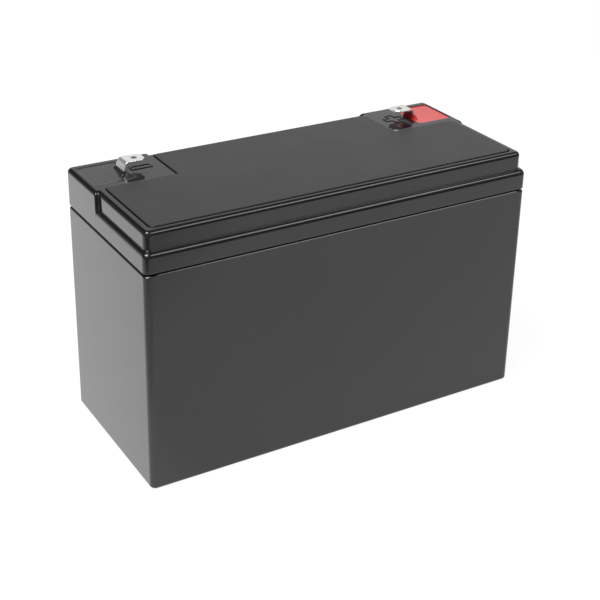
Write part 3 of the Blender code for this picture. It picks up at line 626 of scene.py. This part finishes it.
def tab_width(x, z):
    """The strip narrows from its foot to the blade, and its tip is cut back."""
    if x < TIP_X + TIP_CUT:
        return TAB_WIDTH - 2 * (TIP_CUT - (x - TIP_X))
    if z < CASE_HEIGHT:
        return TAB_BASE_WIDTH
    rise = min((z - CASE_HEIGHT) / BLADE_GAP, 1.0)
    return TAB_BASE_WIDTH + (TAB_WIDTH - TAB_BASE_WIDTH) * rise


def strip_section(width):
    """The strip's section with its corners rounded, as (across, up)."""
    half = TAB_THICKNESS / 2
    return rounded(rectangle(-width / 2, -half, width / 2, half, TAB_EDGE))


def make_tab(name, side):
    """One strip bent twice: a foot in the resin, a riser and a blade that points to the middle."""
    foot_end = (POST_X + FOOT_TAIL, FOOT_Z)
    foot_bend = (RISER_BASE_X, FOOT_Z)
    blade_bend = (RISER_TOP_X, BLADE_Z)
    path = bent_line([foot_end, foot_bend, blade_bend, (TIP_X, BLADE_Z)], TAB_BEND, BEND_STEPS)
    forward = path[-1][1]
    tip_cut = [(Vector((TIP_X + TIP_CUT * share, BLADE_Z)), forward) for share in TIP_SHARES]
    builder = bmesh.new()
    rings = []
    for point, direction in path[:-1] + tip_cut + path[-1:]:
        normal = Vector((-direction.y, direction.x))
        ring = []
        for across, up in strip_section(tab_width(point.x, point.y)):
            at = point + normal * up
            ring.append((side * at.x, TERMINAL_Y + across, at.y))
        rings.append(ring)
    add_rings(builder, rings)
    tab = object_from(name, builder)
    low = BLADE_Z - TAB_THICKNESS
    high = BLADE_Z + TAB_THICKNESS
    hole_x = side * (TIP_X + BLADE_HOLE_SETBACK)
    hole = cylinder(f"{name}_hole", hole_x, TERMINAL_Y, low, high, BLADE_HOLE_RADIUS)
    combine(tab, [hole], "DIFFERENCE")
    return tab


def riser_x(z, off):
    """Where a line beside the leaning riser is at a height, off from the riser's middle line."""
    return RISER_RIM_X - RISER_SLOPE * (z - CASE_HEIGHT) + off * math.hypot(1.0, RISER_SLOPE)


def make_resin(name, side, drop, climb):
    """Poured resin: nearly level, drawn up a little along the well's walls and a film up the riser."""
    outline = on_side(well_outline(), side)
    top = CASE_HEIGHT - drop
    levels = [(outline, HAIR, CASE_HEIGHT - WELL_DEPTH + CLEARANCE)]
    meniscus = min(MENISCUS, drop)
    shares = [step / RESIN_STEPS for step in range(RESIN_STEPS + 1)]
    for share in shares:
        rise = meniscus * (1 - share) ** RESIN_CURVE
        levels.append((outline, HAIR + MENISCUS_REACH * share, top + rise))
    fill = stack(name, levels)
    builder = bmesh.new()
    rings = []
    for share in shares:
        z = top - RESIN_FILM_ROOT + (climb + RESIN_FILM_ROOT) * share
        spread = RESIN_FILM + (RESIN_COLLAR - RESIN_FILM) * (1 - share) ** RESIN_CURVE
        near = riser_x(z, -TAB_THICKNESS / 2 - spread)
        far = riser_x(z, TAB_THICKNESS / 2 + spread)
        half = tab_width(near, z) / 2 + spread
        radius = min(COLLAR_ROUND, spread + COLLAR_ROUND_ADDED)
        corners = rectangle(near, TERMINAL_Y - half, far, TERMINAL_Y + half, radius)
        rings.append([(side * x, y, z) for x, y in rounded(corners)])
    add_rings(builder, rings)
    combine(fill, [object_from(f"{name}_collar", builder)], "UNION")
    return fill


# Materials


class Nodes:
    """Short ways to place and link the nodes of one material."""

    def __init__(self, name):
        self.material = bpy.data.materials.new(name)
        self.material.use_nodes = True
        self.tree = self.material.node_tree
        self.shader = self.tree.nodes["Principled BSDF"]
        self.coordinates = self.add("ShaderNodeTexCoord").outputs["Object"]

    def add(self, kind, **settings):
        node = self.tree.nodes.new(kind)
        for key, value in settings.items():
            setattr(node, key, value)
        return node

    def link(self, source, target):
        self.tree.links.new(source, target)

    def noise(self, scale, detail, roughness=0.5, stretch=(1.0, 1.0, 1.0)):
        mapping = self.add("ShaderNodeMapping")
        mapping.inputs["Scale"].default_value = stretch
        self.link(self.coordinates, mapping.inputs["Vector"])
        node = self.add("ShaderNodeTexNoise")
        node.inputs["Scale"].default_value = scale
        node.inputs["Detail"].default_value = detail
        node.inputs["Roughness"].default_value = roughness
        self.link(mapping.outputs["Vector"], node.inputs["Vector"])
        return node.outputs["Fac"]

    def spread(self, value, low, high, part=NOISE_RANGE):
        """Stretches a part of the value's range to the range from low to high."""
        node = self.add("ShaderNodeMapRange")
        node.inputs["From Min"].default_value = part[0]
        node.inputs["From Max"].default_value = part[1]
        node.inputs["To Min"].default_value = low
        node.inputs["To Max"].default_value = high
        self.link(value, node.inputs["Value"])
        return node.outputs["Result"]

    def colour(self, noise, low, high):
        """The shader's colour, which varies between two as the noise does."""
        node = self.add("ShaderNodeMix", data_type="RGBA")
        node.inputs["A"].default_value = (*low, 1.0)
        node.inputs["B"].default_value = (*high, 1.0)
        self.link(self.spread(noise, 0.0, 1.0), node.inputs["Factor"])
        self.link(node.outputs["Result"], self.shader.inputs["Base Color"])

    def roughness(self, noise, low, high):
        self.link(self.spread(noise, low, high), self.shader.inputs["Roughness"])

    def relief(self, *layers):
        """Bumps on the surface, given as (height, distance) from the broadest to the finest."""
        surface = None
        for height, distance in layers:
            node = self.add("ShaderNodeBump")
            node.inputs["Distance"].default_value = distance
            node.inputs["Strength"].default_value = 1.0
            self.link(height, node.inputs["Height"])
            if surface is not None:
                self.link(surface, node.inputs["Normal"])
            surface = node.outputs["Normal"]
        self.link(surface, self.shader.inputs["Normal"])


def plastic(name, dark, light, roughness, grain):
    """Moulded plastic: a fine spark-eroded grain, faint flow marks and slightly uneven gloss."""
    nodes = Nodes(name)
    nodes.colour(nodes.noise(*PLASTIC_CLOUD), dark, light)
    least = roughness - PLASTIC_ROUGHNESS_SPREAD
    most = roughness + PLASTIC_ROUGHNESS_SPREAD
    nodes.roughness(nodes.noise(*PLASTIC_SMUDGE), least, most)
    swell = nodes.noise(*PLASTIC_SWELL)
    nodes.relief((swell, PLASTIC_SWELL_HEIGHT), (nodes.noise(*PLASTIC_GRAIN), grain))
    return nodes.material


def tin(name):
    """Bright tin plate: faint lengthways scratches, a soft cloudiness and a slight waviness."""
    nodes = Nodes(name)
    nodes.colour(nodes.noise(*TIN_CLOUD), *TIN_COLOURS)
    nodes.shader.inputs["Metallic"].default_value = TIN_METALLIC
    scratches = nodes.noise(*TIN_SCRATCHES)
    nodes.roughness(scratches, *TIN_ROUGHNESS)
    nodes.relief((nodes.noise(*TIN_SWELL), TIN_SWELL_HEIGHT), (scratches, TIN_SCRATCH_DEPTH))
    return nodes.material


def resin_finish(name, dark, light):
    """Poured resin: glossy, with a slow swell, small pits of burst bubbles and an uneven colour."""
    nodes = Nodes(name)
    nodes.colour(nodes.noise(*RESIN_CLOUD), dark, light)
    nodes.roughness(nodes.noise(*RESIN_HAZE), *RESIN_ROUGHNESS)
    pits = nodes.spread(nodes.noise(*RESIN_PITS), 0.0, 1.0, PIT_RANGE)
    nodes.relief((nodes.noise(*RESIN_SWELL), RESIN_SWELL_HEIGHT), (pits, RESIN_PIT_DEPTH))
    return nodes.material


def plain_rough(name, dark, light, roughness, scale, height, metallic):
    """The hidden pieces' finishes: a mottled colour, an uneven roughness and a fine relief."""
    nodes = Nodes(name)
    mottle = nodes.noise(scale, *MOTTLE)
    nodes.colour(mottle, dark, light)
    most = roughness * (1 + HIDDEN_ROUGHNESS_SPREAD)
    least = roughness * (1 - HIDDEN_ROUGHNESS_SPREAD)
    nodes.roughness(mottle, most, least)
    nodes.shader.inputs["Metallic"].default_value = metallic
    nodes.relief((nodes.noise(scale * RELIEF_FINER, *RELIEF), height))
    return nodes.material


# Studio


def make_floor():
    """A white floor that glows for camera and mirrored rays, with a faint shadow of the object on it."""
    mesh = bpy.data.meshes.new("floor")
    signs = [(-1, -1), (1, -1), (1, 1), (-1, 1)]
    corners = [(x * FLOOR_REACH, y * FLOOR_REACH, -FLOOR_DROP) for x, y in signs]
    mesh.from_pydata(corners, [], [(0, 1, 2, 3)])
    floor = link(bpy.data.objects.new("floor", mesh))
    material = bpy.data.materials.new("floor_white")
    material.use_nodes = True
    tree = material.node_tree
    tree.nodes.clear()
    output = tree.nodes.new("ShaderNodeOutputMaterial")
    seen = tree.nodes.new("ShaderNodeAddShader")
    glow = tree.nodes.new("ShaderNodeEmission")
    glow.inputs["Color"].default_value = WHITE
    tree.links.new(floor_level(tree), glow.inputs["Strength"])
    shadow = tree.nodes.new("ShaderNodeBsdfDiffuse")
    shadow.inputs["Color"].default_value = (FLOOR_SHADOW_SHARE,) * 3 + (1.0,)
    tree.links.new(glow.outputs[0], seen.inputs[0])
    tree.links.new(shadow.outputs[0], seen.inputs[1])
    white = tree.nodes.new("ShaderNodeBsdfDiffuse")
    white.inputs["Color"].default_value = (FLOOR_WHITE,) * 3 + (1.0,)
    mix = tree.nodes.new("ShaderNodeMixShader")
    tree.links.new(direct_ray(tree), mix.inputs["Fac"])
    tree.links.new(white.outputs[0], mix.inputs[1])
    tree.links.new(seen.outputs[0], mix.inputs[2])
    tree.links.new(mix.outputs[0], output.inputs["Surface"])
    mesh.materials.append(material)


def ramp(tree, value, start, end, low, high, smooth=True):
    """A level that goes from low to high while the value goes from start to end."""
    node = tree.nodes.new("ShaderNodeMapRange")
    node.interpolation_type = "SMOOTHSTEP" if smooth else "LINEAR"
    for name, number in (("From Min", start), ("From Max", end), ("To Min", low), ("To Max", high)):
        node.inputs[name].default_value = number
    tree.links.new(value, node.inputs["Value"])
    return node.outputs["Result"]


def combined(tree, operation, *values):
    """Several levels multiplied, added and so on, one after another."""
    total = values[0]
    for value in values[1:]:
        node = tree.nodes.new("ShaderNodeMath")
        node.operation = operation
        for socket, source in zip(node.inputs, (total, value)):
            if isinstance(source, float):
                socket.default_value = source
            else:
                tree.links.new(source, socket)
        total = node.outputs[0]
    return total


def along(tree, vector, direction):
    """How far a vector reaches in a direction of length 1."""
    node = tree.nodes.new("ShaderNodeVectorMath")
    node.operation = "DOT_PRODUCT"
    node.inputs[1].default_value = direction
    tree.links.new(vector, node.inputs[0])
    return node.outputs["Value"]


def floor_level(tree):
    """The strength of the floor's glow.

    It is even for the camera. For mirrored rays it is dimmed towards the front left, by a net and then by a
    flag, is brighter beyond the left end, and is dimmer far out.
    """
    position = tree.nodes.new("ShaderNodeNewGeometry").outputs["Position"]
    front_left = along(tree, position, FLAG_TOWARDS)
    net = ramp(tree, front_left, NET_START, NET_END, 1.0, NET_LEVEL)
    flag = ramp(tree, front_left, FLAG_START, FLAG_END, FLOOR_MIRRORED, FLAG_LEVEL)
    left = along(tree, position, BOOST_TOWARDS)
    edge = ramp(tree, left, BOOST_NEAR - BOOST_BLEND, BOOST_NEAR, 0.0, 1.0)
    boost = ramp(tree, left, BOOST_NEAR, BOOST_FAR, BOOST_NEAR_LEVEL, BOOST_FAR_LEVEL, False)
    lift = combined(tree, "ADD", combined(tree, "MULTIPLY", edge, boost), 1.0)
    distance = tree.nodes.new("ShaderNodeVectorMath")
    distance.operation = "LENGTH"
    tree.links.new(position, distance.inputs[0])
    pool = ramp(tree, distance.outputs["Value"], POOL_START, POOL_END, 1.0, POOL_LEVEL)
    mix = tree.nodes.new("ShaderNodeMix")
    tree.links.new(tree.nodes.new("ShaderNodeLightPath").outputs["Is Glossy Ray"], mix.inputs["Factor"])
    mix.inputs["A"].default_value = FLOOR_GLOW
    tree.links.new(combined(tree, "MULTIPLY", net, flag, lift, pool), mix.inputs["B"])
    return mix.outputs["Result"]


def direct_ray(tree):
    """1 for camera, glossy and transmission rays, which see the plain background."""
    path = tree.nodes.new("ShaderNodeLightPath")
    kinds = ("Is Camera Ray", "Is Glossy Ray", "Is Transmission Ray")
    return combined(tree, "MAXIMUM", *[path.outputs[kind] for kind in kinds])


def make_world():
    """A white background for the camera, and a soft studio with darker and brighter sides for the rest."""
    world = bpy.data.worlds.new("studio")
    world.use_nodes = True
    tree = world.node_tree
    tree.nodes.clear()
    direction = tree.nodes.new("ShaderNodeTexCoord").outputs["Generated"]
    lobes = []
    for towards, full, end, level in WORLD_LOBES:
        nearness = along(tree, direction, Vector(towards).normalized())
        outside = math.cos(math.radians(end))
        inside = math.cos(math.radians(full))
        lobes.append(ramp(tree, nearness, outside, inside, 0.0, level))
    mix = tree.nodes.new("ShaderNodeMix")
    tree.links.new(tree.nodes.new("ShaderNodeLightPath").outputs["Is Camera Ray"], mix.inputs["Factor"])
    tree.links.new(combined(tree, "ADD", *lobes, WORLD_BASE), mix.inputs["A"])
    mix.inputs["B"].default_value = BACKDROP_LEVEL
    background = tree.nodes.new("ShaderNodeBackground")
    background.inputs["Color"].default_value = WHITE
    tree.links.new(mix.outputs["Result"], background.inputs["Strength"])
    output = tree.nodes.new("ShaderNodeOutputWorld")
    tree.links.new(background.outputs[0], output.inputs["Surface"])
    bpy.context.scene.world = world


def make_lamp(name, position, size, radiance):
    """A softbox of the given width and height, whose surface has the given radiance."""
    data = bpy.data.lights.new(name, "AREA")
    data.shape = "RECTANGLE"
    data.size, data.size_y = size
    data.energy = math.pi * size[0] * size[1] * radiance
    lamp = link(bpy.data.objects.new(name, data))
    lamp.location = position
    lamp.rotation_euler = (LAMP_AIM - Vector(position)).to_track_quat("-Z", "Y").to_euler()
    lamp.visible_camera = False


def make_camera():
    azimuth, elevation, roll = CAMERA_AZIMUTH, CAMERA_ELEVATION, CAMERA_ROLL
    back = Vector((
        math.sin(azimuth) * math.cos(elevation),
        -math.cos(azimuth) * math.cos(elevation),
        math.sin(elevation),
    ))
    right = Vector((math.cos(azimuth), math.sin(azimuth), 0.0))
    up = back.cross(right)
    tilted_right = right * math.cos(roll) + up * math.sin(roll)
    tilted_up = up * math.cos(roll) - right * math.sin(roll)
    offset = tilted_right * CAMERA_OFFSET[0] + tilted_up * CAMERA_OFFSET[1]
    position = CAMERA_AIM + back * CAMERA_DISTANCE + offset
    data = bpy.data.cameras.new("camera")
    data.sensor_width = CAMERA_SENSOR
    data.lens = CAMERA_LENS
    data.shift_y = CAMERA_SHIFT_Y
    camera = link(bpy.data.objects.new("camera", data))
    turn = Matrix((tilted_right, tilted_up, back)).transposed()
    camera.matrix_world = Matrix.Translation(position) @ turn.to_4x4()
    bpy.context.scene.camera = camera


def place(piece, node, made_of):
    """Finishes a piece with its material, hides the frame node that it stands in for, and attaches it to a
    body.
    """
    finish_surface(piece, made_of)
    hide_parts(node)
    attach(piece, "root")


def main():
    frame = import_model()
    plastics = {name: plastic(name, *look) for name, look in PLASTICS.items()}
    metal = tin("tab_metal")
    resins = {name: resin_finish(name, *colours) for name, colours in RESINS.items()}
    place(make_case(), "container", plastics["case_plastic"])
    place(make_lid(), "lid", plastics["lid_plastic"])
    place(make_cover(), "cover_plate", plastics["cover_plastic"])
    for side, name in ((-1, "negative"), (1, "positive")):
        place(make_tab(f"{name}_tab", side), f"{name}_terminal", metal)
    black_fill = make_resin("black_fill", -1, NEGATIVE_RESIN_DROP, NEGATIVE_CLIMB)
    place(black_fill, "negative_well_resin", resins["black_resin"])
    red_fill = make_resin("red_fill", 1, POSITIVE_RESIN_DROP, POSITIVE_CLIMB)
    place(red_fill, "positive_well_resin", resins["red_resin"])
    hidden = {name: plain_rough(name, *look) for name, look in HIDDEN_FINISHES.items()}
    for part in frame["record"]["subparts"]:
        made_of = hidden.get(part["material_slot"])
        if made_of:
            node = frame["nodes"][part["node"]]
            node.data.materials.clear()
            node.data.materials.append(made_of)
    make_floor()
    make_world()
    for lamp in LAMPS:
        make_lamp(*lamp)
    make_camera()
    bpy.context.scene.view_settings.view_transform = "Standard"


main()
